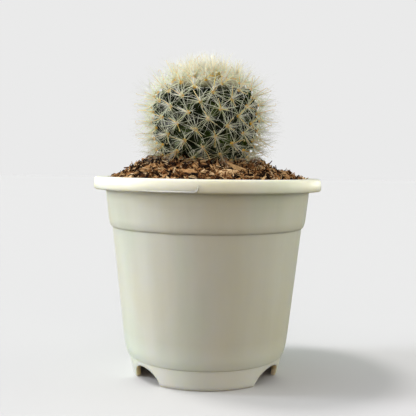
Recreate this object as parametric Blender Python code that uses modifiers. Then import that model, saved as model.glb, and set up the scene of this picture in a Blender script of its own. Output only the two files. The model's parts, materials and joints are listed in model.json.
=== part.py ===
"""A round cactus in a moulded plastic nursery pot, in metres, +Z up.

The origin is the middle of the pot's foot ring, on the surface that it stands on, and the front is -Y.
The pot is a thin turned shell on three feet, the potting mix fills it up to a mound, and the cactus sits
in the mound with its roots below. The stem carries a tubercle at each point of a golden-angle spiral, and
a cluster of spines grows from the tubercle's tip: a star of short radial spines round one hooked spine.
"""

import math

import bmesh
import bpy
import numpy as np
from mathutils import Matrix, Vector, noise
from mathutils.bvhtree import BVHTree

MM = 0.001
GAP = 0.3 * MM  # clearance between pieces that touch on the real object
TURN_STEPS = 48  # facets round a turned piece
MERGE = 0.00001  # merge distance where a turned profile meets its axis

# Pot: (radius, height) stations of its outer side in mm, from the mouth down to the middle of the base.
RIM_TOP = 107.8
RIM_RADIUS = 62.1
RIM_DEPTH = 6.7
RIM_SKIN = 1.6
RIM_EDGE = 0.8
RIM_BAND = 10.5  # radius of the rim's bulging outer band
COLLAR_TOP_RADIUS = 56.3
COLLAR_FOOT = (53.9, 84.8)
SHOULDER = (52.3, 81.2)
WALL_TOP = (51.9, 80.7)
WALL_FOOT = (45.2, 20.0)
HEEL = (42.9, 11.2)
FOOT_TOP = (42.3, 10.7)
FOOT_BASE = (39.3, 1.4)
FOOT_OUTER = (38.5, 0.0)
FOOT_INNER = (36.4, 0.0)
RECESS_FOOT = (36.1, 0.8)
RECESS_TOP = (38.9, 9.2)
FLOOR_BOTTOM = 10.0
WALL = 1.5

# Arched channels through the foot ring, and slots in the floor, for drainage.
CHANNEL_AZIMUTHS = (-56.5, 57.5, 180.5)  # degrees from the front
CHANNEL_HALF_WIDTH = 13.2
CHANNEL_HEIGHT = 9.0
CHANNEL_SPAN = (24.0, 48.0)
SLOT_COUNT = 6
SLOT_SPAN = (11.0, 24.0)
SLOT_WIDTH = 3.6

# Potting mix: the mound's height in mm at the pot's wall and at its top, and its lumps.
MOUND_EDGE = 105.2
MOUND_TOP = 118.6
MOUND_TOP_RADIUS = 24.0
MOUND_RINGS = (0.0, 25.0, 28.0, 31.0, 34.5, 38.0, 41.5, 45.0, 48.5)
LUMP_HEIGHT = 1.5
LUMP_SPREAD = 8.0

# Cactus stem: a globe measured over the tubercles' tips, set a little to the left.
STEM_OFFSET = -1.8
STEM_RADIUS = 29.5
STEM_WAIST = 141.0
STEM_RISE = 22.0
STEM_DROP = 40.0
STEM_POWER = 2.5
TUBERCLE_DEPTH = 4.0
TUBERCLE_FLAT = 0.14
TUBERCLE_SPACING = 9.5
YOUNG_SPACING = 1.9
GROWTH_LENGTH = 10.0
GOLDEN_ANGLE = math.pi * (3 - math.sqrt(5))

# Spine clusters: one areole in three carries its cluster here.
CLUSTER_STEP = 3
CLUSTER_LOWEST = 122.0
RADIAL_SPINES = 8
RADIAL_REACH = 0.44  # of the spacing between areoles
AREOLE_RADIUS = 1.4
YOUNG_SPREAD = 5.0  # areoles closer together than this have smaller pads
AREOLE_HEIGHT = 0.9
HOOKED_LENGTH = 8.5
CROWN_LENGTH = 11.4
HOOK_RADIUS = 1.0
SPINE_RADIUS = 0.32

# Roots: a tapered root crown with side roots, below the stem.
ROOT_TOP = 100.4
ROOT_COUNT = 7

# Husk chips on the mound: azimuth from the front, distance from the axis, length, width, turn and point.
CHIPS = (
    (28.0, 36.0, 11.0, 6.5, 140.0, 0.8),
    (15.0, 42.0, 10.5, 6.0, 8.0, 0.3),
    (-14.0, 43.0, 12.0, 4.5, -15.0, 0.5),
    (66.0, 44.0, 10.0, 5.0, 35.0, 0.4),
    (-52.0, 42.0, 10.5, 4.5, 70.0, 0.6),
    (112.0, 41.0, 10.0, 5.5, -30.0, 0.2),
    (168.0, 43.0, 12.0, 5.0, 20.0, 0.5),
    (-112.0, 42.0, 10.0, 5.0, -50.0, 0.4),
)
CHIP_THICKNESS = 0.9
CHIP_CURL = 0.8


def new_collection(name):
    made = bpy.data.collections.new(name)
    bpy.context.scene.collection.children.link(made)
    return made


def plastic_material(name, colour, roughness, metallic=0.0):
    material = bpy.data.materials.new(name)
    material.use_nodes = True
    shader = material.node_tree.nodes["Principled BSDF"]
    shader.inputs["Base Color"].default_value = (*colour, 1.0)
    shader.inputs["Roughness"].default_value = roughness
    shader.inputs["Metallic"].default_value = metallic
    return material


def add_object(name, data, collection, material=None):
    made = bpy.data.objects.new(name, data)
    collection.objects.link(made)
    if material:
        made.data.materials.append(material)
    return made


def as_cutter(cutter):
    cutter.hide_render = True
    cutter.display_type = "WIRE"
    return cutter


def turned(name, stations, collection, material=None):
    """A solid turned about Z from (radius, height) stations in mm, listed from its top to its base."""
    mesh = bpy.data.meshes.new(name)
    points = [(radius * MM, 0.0, height * MM) for radius, height in stations]
    mesh.from_pydata(points, [(i, i + 1) for i in range(len(points) - 1)], [])
    made = add_object(name, mesh, collection, material)
    screw = made.modifiers.new("Turn", "SCREW")
    screw.axis = "Z"
    screw.steps = TURN_STEPS
    screw.render_steps = TURN_STEPS
    screw.use_merge_vertices = True
    screw.merge_threshold = MERGE
    screw.use_smooth_shade = True
    return made


def finished_mesh(thing):
    """The mesh of an object as its modifiers leave it."""
    bpy.context.view_layer.update()
    return bpy.data.meshes.new_from_object(thing.evaluated_get(bpy.context.evaluated_depsgraph_get()))


def cut(target, cutter, operation="DIFFERENCE"):
    boolean = target.modifiers.new(cutter.name, "BOOLEAN")
    boolean.operation = operation
    boolean.object = cutter
    boolean.solver = "EXACT"


def arc(centre, radius, start, end, count):
    """Stations along an arc, with its angles in degrees from outwards, anticlockwise."""
    angles = [math.radians(start + (end - start) * i / (count - 1)) for i in range(count)]
    return [(centre[0] + radius * math.cos(a), centre[1] + radius * math.sin(a)) for a in angles]


def bulge(start, end, height, count):
    """Stations from start to end along a shallow outward curve that stands height off the chord."""
    made = []
    for i in range(count):
        t = i / (count - 1)
        off = height * 4 * t * (1 - t)
        made.append((start[0] + (end[0] - start[0]) * t + off, start[1] + (end[1] - start[1]) * t))
    return made


def from_front(azimuth, distance, height=0.0):
    """A point in metres at an azimuth in degrees from the front, seen from above towards +X."""
    a = math.radians(azimuth)
    return Vector((distance * math.sin(a), -distance * math.cos(a), height)) * MM


def pot_outside():
    rim_bottom = RIM_TOP - RIM_DEPTH
    underside = RIM_TOP - RIM_SKIN
    skirt_inside = RIM_RADIUS - 0.6 - RIM_SKIN
    band = arc((RIM_RADIUS - RIM_BAND, RIM_TOP - 4.0), RIM_BAND, 19.0, -12.0, 6)
    return [
        (0.0, RIM_TOP),
        *arc((band[0][0] - RIM_EDGE * 0.95, RIM_TOP - RIM_EDGE), RIM_EDGE, 90, 30, 3),
        *band,
        (band[-1][0] - 0.25, rim_bottom),
        (skirt_inside, rim_bottom),
        (skirt_inside, underside),
        (COLLAR_TOP_RADIUS, underside),
        COLLAR_FOOT,
        SHOULDER,
        WALL_TOP,
        *bulge(WALL_FOOT, HEEL, 0.35, 4),
        FOOT_TOP,
        FOOT_BASE,
        FOOT_OUTER,
        FOOT_INNER,
        RECESS_FOOT,
        RECESS_TOP,
        (RECESS_TOP[0] - 0.8, FLOOR_BOTTOM),
        (0.0, FLOOR_BOTTOM),
    ]


def pot_inside(mouth_height, shrink=0.0):
    """The hollow of the pot, one wall inside its outer stations and smaller all round by shrink."""
    inset = WALL + shrink
    floor_top = FLOOR_BOTTOM + inset
    flare = (COLLAR_TOP_RADIUS - COLLAR_FOOT[0]) / (RIM_TOP - COLLAR_FOOT[1])
    mouth_radius = COLLAR_TOP_RADIUS + flare * (mouth_height - RIM_TOP)
    return [
        (mouth_radius - inset, mouth_height),
        (COLLAR_FOOT[0] - inset, COLLAR_FOOT[1]),
        (SHOULDER[0] - inset, SHOULDER[1] - 0.2),
        (WALL_TOP[0] - inset, WALL_TOP[1] - 0.4),
        (WALL_FOOT[0] - inset, WALL_FOOT[1] + 0.3),
        (HEEL[0] - inset - 0.4, floor_top + 1.2),
        (HEEL[0] - inset - 1.6, floor_top),
        (0.0, floor_top),
    ]


def channel_cutter(name, collection):
    """Flattened round bars that lie in the foot ring's channels."""
    shape = bmesh.new()
    inner, outer = CHANNEL_SPAN
    for azimuth in CHANNEL_AZIMUTHS:
        size = Matrix.Diagonal(
            (CHANNEL_HALF_WIDTH * MM, CHANNEL_HEIGHT * MM, (outer - inner) * MM, 1.0)
        )
        lay_down = Matrix.Rotation(math.radians(90), 4, "X")
        turn = Matrix.Rotation(math.radians(azimuth), 4, "Z")
        place = Matrix.Translation(from_front(azimuth, (inner + outer) / 2))
        bmesh.ops.create_cone(
            shape, cap_ends=True, segments=28, radius1=1.0, radius2=1.0, depth=1.0,
            matrix=place @ turn @ lay_down @ size,
        )
    mesh = bpy.data.meshes.new(name)
    shape.to_mesh(mesh)
    shape.free()
    return as_cutter(add_object(name, mesh, collection))


def slot_cutter(name, collection):
    shape = bmesh.new()
    inner, outer = SLOT_SPAN
    for i in range(SLOT_COUNT):
        azimuth = 360.0 * i / SLOT_COUNT
        size = Matrix.Diagonal((SLOT_WIDTH * MM, (outer - inner) * MM, 6 * MM, 1.0))
        turn = Matrix.Rotation(math.radians(azimuth), 4, "Z")
        place = Matrix.Translation(from_front(azimuth, (inner + outer) / 2, FLOOR_BOTTOM + WALL / 2))
        bmesh.ops.create_cube(shape, size=1.0, matrix=place @ turn @ size)
    mesh = bpy.data.meshes.new(name)
    shape.to_mesh(mesh)
    shape.free()
    return as_cutter(add_object(name, mesh, collection))


def make_pot(parts, cutters):
    """Cream moulded shell: rolled rim, collar, tapered wall, thin foot ring with three channels."""
    cream = plastic_material("cream_plastic", (0.68, 0.69, 0.57), 0.38)
    pot = turned("pot", pot_outside(), parts, cream)
    hollow = as_cutter(turned("pot_hollow", [(0.0, RIM_TOP + 2), *pot_inside(RIM_TOP + 2)], cutters))
    cut(pot, channel_cutter("channels", cutters))
    cut(pot, hollow)
    cut(pot, slot_cutter("drain_slots", cutters))


def mound_height(radius):
    """Height of the potting mix in mm at a distance from the pot's axis."""
    wall = COLLAR_TOP_RADIUS - WALL - 0.5
    t = min(max((wall - radius) / (wall - MOUND_TOP_RADIUS), 0.0), 1.0)
    return MOUND_EDGE + (MOUND_TOP - MOUND_EDGE) * (0.62 * t + 0.38 * t * t * (3 - 2 * t))


def stem_point(direction):
    """The tip surface of the stem in mm, from its own axis, along a unit direction."""
    across = math.hypot(direction[0], direction[1])
    reach = STEM_RADIUS * across ** (2 / STEM_POWER)
    half = STEM_RISE if direction[2] > 0 else STEM_DROP
    height = STEM_WAIST + math.copysign(half * abs(direction[2]) ** (2 / STEM_POWER), direction[2])
    if across < 1e-9:
        return np.array((0.0, 0.0, height))
    return np.array((reach * direction[0] / across, reach * direction[1] / across, height))


def spacing_at(along):
    """Distance between neighbouring areoles, at a length in mm along the stem from its apex."""
    grown = 1 - math.exp(-along / GROWTH_LENGTH)
    return YOUNG_SPACING + (TUBERCLE_SPACING - YOUNG_SPACING) * grown


def areoles():
    """(tip, outward normal, spacing) of each areole in mm, outwards from the apex along the spiral."""
    polar = np.linspace(0.0, math.pi, 721)
    line = np.array([stem_point((math.sin(a), 0.0, math.cos(a))) for a in polar])
    steps = np.hypot(np.diff(line[:, 0]), np.diff(line[:, 2]))
    along = np.concatenate([[0.0], np.cumsum(steps)])
    middle = (line[1:, 0] + line[:-1, 0]) / 2
    cell = np.array([math.sqrt(3) / 2 * spacing_at(s) ** 2 for s in (along[1:] + along[:-1]) / 2])
    count = np.concatenate([[0.0], np.cumsum(2 * math.pi * middle * steps / cell)])
    slope = np.gradient(line[:, [0, 2]], axis=0)
    made = []
    for n in range(int(count[-1])):
        radius, height, run, dx, dz = (
            np.interp(n + 0.5, count, values) for values in (line[:, 0], line[:, 2], along, *slope.T)
        )
        turn = n * GOLDEN_ANGLE
        outward = np.array((-dz * math.cos(turn), -dz * math.sin(turn), dx))
        tip = np.array((radius * math.cos(turn), radius * math.sin(turn), height))
        made.append((tip, outward / np.linalg.norm(outward), spacing_at(run)))
    return made


def make_stem(parts, grown):
    """The globe, sunk between its tubercles; a ball is shaped point by point."""
    green = plastic_material("cactus_green", (0.05, 0.12, 0.05), 0.6)
    ball = bmesh.new()
    bmesh.ops.create_icosphere(ball, subdivisions=5, radius=1.0)
    tips = np.array([tip for tip, _, _ in grown])
    reach = np.array([spacing for _, _, spacing in grown]) * 0.58
    for vertex in ball.verts:
        point = stem_point(vertex.co)
        away = np.linalg.norm(tips - point, axis=1) / reach
        slope = min(max(away.min() - TUBERCLE_FLAT, 0.0) / (1 - TUBERCLE_FLAT), 1.0)
        sunk = TUBERCLE_DEPTH * slope**1.3 * reach[away.argmin()] / reach.max()
        centre = np.array((0.0, 0.0, STEM_WAIST))
        inward = (centre - point) / np.linalg.norm(centre - point)
        vertex.co = Vector(point + inward * sunk) * MM
    mesh = bpy.data.meshes.new("cactus_stem")
    ball.to_mesh(mesh)
    ball.free()
    mesh.shade_smooth()
    mesh.transform(Matrix.Translation((STEM_OFFSET * MM, 0, 0)))
    return add_object("cactus_stem", mesh, parts, green)


def hooked_curve(base, outward, bend, length):
    """Points of one spine in mm: out from its base, then over in a small hook towards bend."""
    straight = length - HOOK_RADIUS
    points = [base + outward * straight * t for t in (0.0, 0.5, 1.0)]
    for degrees in (50, 105, 160):
        a = math.radians(degrees)
        rise = outward * HOOK_RADIUS * math.sin(a)
        points.append(points[2] + rise + bend * HOOK_RADIUS * (1 - math.cos(a)))
    return points


def tube_mesh(name, points, radii, resolution):
    """A closed tapered tube in mm along points, as a mesh: a bevelled curve with its caps welded."""
    curve = bpy.data.curves.new(name, "CURVE")
    curve.dimensions = "3D"
    curve.bevel_depth = MM
    curve.bevel_resolution = resolution
    curve.use_fill_caps = True
    spline = curve.splines.new("POLY")
    spline.points.add(len(points) - 1)
    for target, point, radius in zip(spline.points, points, radii):
        target.co = (*(np.array(point) * MM), 1.0)
        target.radius = radius
    holder = add_object(name, curve, bpy.context.scene.collection)
    mesh = finished_mesh(holder)
    bpy.data.objects.remove(holder)
    welded = bmesh.new()
    welded.from_mesh(mesh)
    bmesh.ops.remove_doubles(welded, verts=welded.verts, dist=MERGE)
    welded.to_mesh(mesh)
    welded.free()
    return mesh


def star_mesh(name, pad, reach):
    """An areole's felt pad on the XY plane, whose rim is drawn out into radial spines."""
    shape = bmesh.new()
    bmesh.ops.create_cone(
        shape, cap_ends=True, segments=2 * RADIAL_SPINES,
        radius1=pad, radius2=pad * 0.85, depth=AREOLE_HEIGHT,
    )
    for vertex in shape.verts:
        sector = round(math.atan2(vertex.co.y, vertex.co.x) / (math.pi / RADIAL_SPINES))
        if vertex.co.z < 0 and sector % 2 == 0:
            vertex.co.xy *= reach / vertex.co.xy.length
            vertex.co.z += 0.35
    shape.transform(Matrix.Scale(MM, 4) @ Matrix.Translation((0, 0, AREOLE_HEIGHT / 2)))
    mesh = bpy.data.meshes.new(name)
    shape.to_mesh(mesh)
    shape.free()
    return mesh


def seat_star(star, stem, skin, tip, outward):
    """Stands the star over a tubercle's tip, a gap clear of the stem's skin; gives its base in mm."""
    stand = Vector(outward).to_track_quat("Z", "Y").to_matrix().to_4x4()
    away = Vector(tip + outward * 5) * MM
    star.transform(Matrix.Translation(away) @ stand)
    inward = Vector(-outward)
    under = BVHTree.FromPolygons([v.co for v in star.vertices], [p.vertices for p in star.polygons])
    near = [v.co for v in stem.data.vertices if (v.co - away).length < 8 * MM]
    drops = [skin.ray_cast(v.co, inward)[3] for v in star.vertices]
    drops += [under.ray_cast(co, -inward)[3] or 1.0 for co in near]
    drop = min(drops) - GAP
    star.transform(Matrix.Translation(inward * drop))
    return np.array(away + inward * drop) / MM


def hook_direction(outward, i):
    """The way the i-th hooked spine bends: mostly downwards, swung to one side or the other."""
    side = np.cross(outward, (0.0, 0.0, 1.0))
    side /= np.linalg.norm(side) + 1e-9
    down = np.cross(outward, side)
    swing = math.radians(47.0 * (i % 5) - 94.0)
    bend = down * math.cos(swing) + side * math.sin(swing)
    return bend if bend[2] <= 0 or outward[2] > 0.8 else -bend


def make_clusters(parts, cutters, stem, grown):
    """One object for each third areole: the star of radial spines with its hooked spine."""
    straw = plastic_material("spine_straw", (0.75, 0.62, 0.30), 0.5)
    skin = BVHTree.FromObject(stem, bpy.context.evaluated_depsgraph_get())
    chosen = [g for g in grown[::CLUSTER_STEP] if g[0][2] > CLUSTER_LOWEST]
    for i, (tip, outward, spacing) in enumerate(chosen):
        name = f"spine_cluster_{i + 1:02d}"
        pad = AREOLE_RADIUS * min(1.0, spacing / YOUNG_SPREAD)
        star = star_mesh(name, pad, max(RADIAL_REACH * spacing, pad * 1.3))
        base = seat_star(star, stem, skin, tip + np.array((STEM_OFFSET, 0.0, 0.0)), outward)
        length = HOOKED_LENGTH + (CROWN_LENGTH - HOOKED_LENGTH) * max(outward[2], 0.0) ** 2
        bend = hook_direction(outward, i)
        points = hooked_curve(base + outward * AREOLE_HEIGHT * 0.4, outward, bend, length)
        taper = [SPINE_RADIUS * (1 - 0.1 * k) for k in range(len(points))]
        spine = as_cutter(add_object(name + "_hook", tube_mesh(name, points, taper, 0), cutters))
        cluster = add_object(name, star, parts, straw)
        cut(cluster, spine, "UNION")


def root_lines():
    """(points, radii) in mm of the root crown and of each side root."""
    crown = [(0.0, 0.0, ROOT_TOP), (0.5, 0.0, 90.0), (-0.6, 0.8, 76.0), (0.4, 0.2, 60.0)]
    lines = [(crown, [8.0, 4.6, 2.8, 1.2])]
    for i in range(ROOT_COUNT):
        turn = i * GOLDEN_ANGLE
        top = ROOT_TOP - 3.5 - 2.0 * i
        out = 22.0 + 3.0 * (i % 3)
        points = []
        for t in (0.0, 0.25, 0.5, 0.75, 1.0):
            reach = 1.0 + out * math.sin(t * math.pi / 2)
            drop = (26.0 + 4.0 * (i % 4)) * t**1.6
            sway = 0.25 * math.sin(5 * t + i)
            points.append((reach * math.cos(turn + sway), reach * math.sin(turn + sway), top - drop))
        lines.append((points, [2.0, 1.6, 1.3, 1.0, 0.7]))
    return lines


def stretched(points, by):
    """The points of a line, with its two end points moved outwards by a distance in mm."""
    line = [np.array(p) for p in points]
    for end, inner in ((0, 1), (-1, -2)):
        run = line[end] - line[inner]
        line[end] = line[end] + run / np.linalg.norm(run) * by
    return line


def root_object(name, collection, grow, material=None):
    """The root crown with its side roots joined on, thicker and longer all round by grow."""
    whole = None
    for i, (points, radii) in enumerate(root_lines()):
        line = [p + np.array((STEM_OFFSET, 0.0, 0.0)) for p in stretched(points, grow)]
        mesh = tube_mesh(f"{name}_{i}", line, [r + grow for r in radii], 1)
        if whole is None:
            whole = add_object(name, mesh, collection, material)
        else:
            side = as_cutter(add_object(f"{name}_side_{i}", mesh, bpy.data.collections["cutters"]))
            cut(whole, side, "UNION")
    return whole


def make_roots(parts):
    root_object("roots", parts, 0.0, plastic_material("root_tan", (0.32, 0.22, 0.12), 0.8))


def lumpy_blank(stations, cutters):
    """The turned filling of the pot, with its mound raised and sunk into lumps."""
    blank = as_cutter(turned("mix_blank", stations, cutters))
    mesh = finished_mesh(blank)
    for vertex in mesh.vertices:
        if vertex.co.z > (MOUND_EDGE + 0.5) * MM:
            lump = noise.noise(vertex.co / (LUMP_SPREAD * MM))
            vertex.co.z += LUMP_HEIGHT * MM * lump
    return mesh


def stem_bed(gap):
    """Stations of the hollow that the stem's base sits in, gap clear of its tubercles' tips."""
    stations = [(0.0, MOUND_TOP + 6)]
    for i in range(16):
        angle = math.radians(90 * i / 16)
        drop = -6.0 / STEM_DROP + (1 + 6.0 / STEM_DROP) * math.sin(angle)
        radius = STEM_RADIUS * (1 - abs(drop) ** STEM_POWER) ** (1 / STEM_POWER)
        height = STEM_WAIST - STEM_DROP * drop
        if height < MOUND_TOP + 6:
            stations.append((radius + gap, height - gap * 0.3))
    stations.append((0.0, STEM_WAIST - STEM_DROP - gap))
    return stations


def make_potting_mix(parts, cutters):
    """Fills the pot to the mound, hollowed where the stem's base and the roots sit."""
    brown = plastic_material("husk_brown", (0.16, 0.09, 0.05), 0.95)
    gap = GAP / MM
    wall = COLLAR_TOP_RADIUS - WALL - gap
    top = [(radius, mound_height(radius)) for radius in MOUND_RINGS]
    stations = [*top, (wall - 0.6, MOUND_EDGE), *pot_inside(MOUND_EDGE - 1.2, gap)]
    mix = add_object("potting_mix", lumpy_blank(stations, cutters), parts, brown)
    bed = as_cutter(turned("stem_bed", stem_bed(gap + 0.15), cutters))
    bed.location.x = STEM_OFFSET * MM
    cut(mix, bed)
    cut(mix, as_cutter(root_object("root_bed", cutters, gap + 0.05)))
    return mix


def chip_shape(length, width, point):
    """A curled flake of husk in mm, narrower towards both ends and most at its pointed one."""
    shape = bmesh.new()
    bmesh.ops.create_cube(shape, size=1.0)
    lengthwise = [e for e in shape.edges if abs(e.verts[0].co.x - e.verts[1].co.x) > 0.5]
    bmesh.ops.subdivide_edges(shape, edges=lengthwise, cuts=3)
    for vertex in shape.verts:
        along, across, over = vertex.co
        narrow = (1 - 0.35 * (2 * along) ** 2) * (1 - point * (along + 0.5))
        curl = CHIP_CURL * (2 * along) ** 2
        vertex.co = (along * length, across * width * narrow, over * CHIP_THICKNESS - curl)
    return shape


def make_chips(parts, mix):
    """Loose chips of coconut husk, each laid on the mound's slope and lowered until it rests there."""
    ground = BVHTree.FromObject(mix, bpy.context.evaluated_depsgraph_get())
    for i, (azimuth, distance, length, width, turn, point) in enumerate(CHIPS):
        tan = plastic_material(f"chip_tan_{i + 1}", (0.45, 0.31, 0.17), 0.9)
        shape = chip_shape(length, width, point)
        slope = math.atan((mound_height(distance - 2) - mound_height(distance + 2)) / 4)
        turned_to = Matrix.Rotation(math.radians(azimuth), 4, "Z") @ Matrix.Rotation(slope, 4, "X")
        lay = turned_to @ Matrix.Rotation(math.radians(turn), 4, "Z") @ Matrix.Scale(MM, 4)
        shape.transform(Matrix.Translation(from_front(azimuth, distance, RIM_TOP + 30)) @ lay)
        drop = min(v.co.z - ground.ray_cast(v.co, Vector((0, 0, -1)))[0].z for v in shape.verts)
        shape.transform(Matrix.Translation((0, 0, GAP * 1.2 - drop)))
        name = f"husk_chip_{i + 1:02d}"
        mesh = bpy.data.meshes.new(name)
        shape.to_mesh(mesh)
        shape.free()
        add_object(name, mesh, parts, tan)


def main():
    for old in list(bpy.data.objects):
        bpy.data.objects.remove(old)
    parts = new_collection("potted_round_cactus")
    cutters = new_collection("cutters")
    grown = areoles()
    make_pot(parts, cutters)
    mix = make_potting_mix(parts, cutters)
    stem = make_stem(parts, grown)
    make_roots(parts)
    make_clusters(parts, cutters, stem, grown)
    make_chips(parts, mix)


main()
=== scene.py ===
# %% [markdown]
# # A round cactus in a nursery pot
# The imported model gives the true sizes: a moulded pot, a mound of coconut-husk mix and a round stem.
# The cells below dress it. Each step says what the piece is on the real plant, how it could be made
# in Blender, and why one way was chosen.

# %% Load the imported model
import json
import math

import bmesh
import bpy
import numpy as np
from mathutils import Matrix, Vector, noise

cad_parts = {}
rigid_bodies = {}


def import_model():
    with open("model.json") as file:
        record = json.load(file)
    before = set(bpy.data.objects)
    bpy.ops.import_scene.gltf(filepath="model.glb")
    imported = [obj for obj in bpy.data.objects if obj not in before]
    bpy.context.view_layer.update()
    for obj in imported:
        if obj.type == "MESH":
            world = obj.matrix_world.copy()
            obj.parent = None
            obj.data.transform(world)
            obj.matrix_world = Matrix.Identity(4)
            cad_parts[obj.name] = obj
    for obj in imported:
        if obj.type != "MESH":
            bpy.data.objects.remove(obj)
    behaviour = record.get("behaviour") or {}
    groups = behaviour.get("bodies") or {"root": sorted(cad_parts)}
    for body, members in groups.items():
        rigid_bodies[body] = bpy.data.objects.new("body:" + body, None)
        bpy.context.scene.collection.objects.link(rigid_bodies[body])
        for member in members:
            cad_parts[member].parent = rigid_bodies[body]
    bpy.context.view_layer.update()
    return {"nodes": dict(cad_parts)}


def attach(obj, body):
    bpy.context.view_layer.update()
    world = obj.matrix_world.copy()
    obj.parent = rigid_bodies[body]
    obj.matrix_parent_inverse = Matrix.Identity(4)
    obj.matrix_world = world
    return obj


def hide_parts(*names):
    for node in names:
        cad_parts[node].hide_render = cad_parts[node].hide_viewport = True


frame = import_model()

MM = 0.001
nodes = frame["nodes"]
scene = bpy.context.scene

# %% [markdown]
# ## Camera
# The view is nearly level with the mound, about 39 cm in front of the pot, through a lens of medium
# length. A level view hides the inside of the rim and shows the stem against the plain background.

# %% Camera
CAMERA_PLACE = (0.0004, -0.3882, 0.1145)
CAMERA_DIP = 3.5
CAMERA_ROLL = 0.8

lens = bpy.data.cameras.new("camera")
lens.lens = 60.7
lens.sensor_width = 36.0
camera = bpy.data.objects.new("camera", lens)
scene.collection.objects.link(camera)
tipped = Matrix.Rotation(math.radians(90 - CAMERA_DIP), 4, "X")
rolled = Matrix.Rotation(math.radians(CAMERA_ROLL), 4, "Z")
camera.matrix_world = Matrix.Translation(CAMERA_PLACE) @ (tipped @ rolled)
scene.camera = camera
scene.view_settings.view_transform = "Standard"
print("camera at", tuple(round(v, 4) for v in camera.location))

# %% [markdown]
# ## Small helpers
# Meshes, shader trees and Geometry Nodes trees are all built in this script. A few short functions
# keep that readable: one adds an object, one closes a bmesh, and the rest add a node, fill its sockets
# with numbers or with other nodes' outputs, and give back the output that is wanted next.

# %% Mesh and node helpers
def add_mesh(name, mesh, *materials):
    made = bpy.data.objects.new(name, mesh)
    scene.collection.objects.link(made)
    for material in materials:
        made.data.materials.append(material)
    return made


def mesh_of(shape, name):
    """Writes a bmesh to a new mesh and frees it."""
    mesh = bpy.data.meshes.new(name)
    shape.to_mesh(mesh)
    shape.free()
    return mesh


def fill_sockets(tree, made, inputs):
    for key, value in (inputs or {}).items():
        bank = [s for s in made.inputs if s.enabled]
        socket = bank[key] if isinstance(key, int) else next(s for s in bank if s.name == key)
        if isinstance(value, bpy.types.NodeSocket):
            tree.links.new(value, socket)
        else:
            socket.default_value = value


def put(tree, kind, inputs=None, output=None, **settings):
    """Adds a node, sets or links its inputs by name or number, and gives one of its outputs."""
    made = tree.nodes.new(kind)
    for key, value in settings.items():
        setattr(made, key, value)
    fill_sockets(tree, made, inputs)
    bank = [s for s in made.outputs if s.enabled]
    return next((s for s in bank if s.name == output), bank[0] if bank else None)


def math_node(tree, operation, *values):
    return put(tree, "ShaderNodeMath", dict(enumerate(values)), operation=operation)


def blend_colours(tree, factor, first, second, way="MIX"):
    made = tree.nodes.new("ShaderNodeMix")
    made.data_type = "RGBA"
    made.blend_type = way
    for key, value in (("Factor", factor), ("A", first), ("B", second)):
        socket = next(s for s in made.inputs if s.enabled and s.name == key)
        if isinstance(value, bpy.types.NodeSocket):
            tree.links.new(value, socket)
        else:
            socket.default_value = (*value, 1.0) if isinstance(value, tuple) else value
    return next(s for s in made.outputs if s.enabled)


print("helpers ready")

# %% [markdown]
# ## Floor and light
# A pale floor and an even pale background meet without a line. Two broad suns stand on the left, one
# high and one low. They give the soft shadow to the right and the bright left side of the pot. The
# floor throws less light back than it shows to the camera, so that the pot keeps its shaded side.

# %% Floor and suns
FLOOR_SEEN = (0.593, 0.597, 0.624)
FLOOR_BOUNCE = (0.095, 0.078, 0.060)
FLOOR_HALF = 6
SUN_WIDTH = 12

plate = bpy.data.meshes.new("floor")
corners = [(x * FLOOR_HALF, y * FLOOR_HALF, 0) for x, y in ((-1, -1), (1, -1), (1, 1), (-1, 1))]
plate.from_pydata(corners, [], [(0, 1, 2, 3)])
paper = bpy.data.materials.new("floor_paper")
paper.use_nodes = True
paper_nodes = paper.node_tree
paper_shader = paper_nodes.nodes["Principled BSDF"]
paper_shader.inputs["Roughness"].default_value = 1.0
paper_shader.inputs["Specular IOR Level"].default_value = 0.0
direct = put(paper_nodes, "ShaderNodeLightPath", output="Is Camera Ray")
grey = blend_colours(paper_nodes, direct, FLOOR_BOUNCE, FLOOR_SEEN)
paper_nodes.links.new(grey, paper_shader.inputs["Base Color"])
floor = add_mesh("floor", plate, paper)

SUNS = (
    ("high_sun", (-0.403, 0.057, 0.914), 1.25, (1.0, 0.94, 0.90)),
    ("low_sun", (-0.866, 0.0, 0.5), 1.03, (0.93, 0.96, 1.0)),
)
for name, towards, strength, colour in SUNS:
    sun = bpy.data.lights.new(name, "SUN")
    sun.energy = strength
    sun.color = colour
    sun.angle = math.radians(SUN_WIDTH)
    holder = bpy.data.objects.new(name, sun)
    scene.collection.objects.link(holder)
    holder.rotation_euler = Vector(towards).to_track_quat("Z", "Y").to_euler()
print("suns:", len(SUNS))

# %% [markdown]
# ## World light
# A studio lights an object from every side, but not evenly. Here the room is a sum of soft patches,
# each brightest in one direction and fading away from it. A picture of a real room could do the same,
# but a few patches are easy to tune and need no file. The camera sees a plain pale grey instead.

# %% World light
BACKGROUND_GREY = 0.823
ROOM_GLOW = (0.07, 0.09, 0.085)
LOBES = (
    ((0.0, 0.0, 1.0), (0.98, 1.0, 1.08), 10.0),  # the ceiling
    ((-1.0, -0.1, 0.12), (11.4, 11.2, 10.9), 60.0),  # a window on the left
    ((-1.0, 0.6, 0.2), (2.5, 2.9, 2.3), 20.0),  # a wide glow behind the window
    ((1.0, 0.1, 0.1), (4.9, 4.9, 4.0), 30.0),  # a white card on the right
    ((0.0, -1.0, 0.0), (1.24, 1.05, 0.88), 4.0),  # the room in front
    ((0.75, 0.75, 0.0), (7.0, 7.0, 6.4), 90.0),  # a low strip behind on the right
)

world = bpy.data.worlds.new("studio")
scene.world = world
world.use_nodes = True
sky = world.node_tree
sky.nodes.clear()
gaze = put(sky, "ShaderNodeTexCoord", output="Generated")


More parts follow.
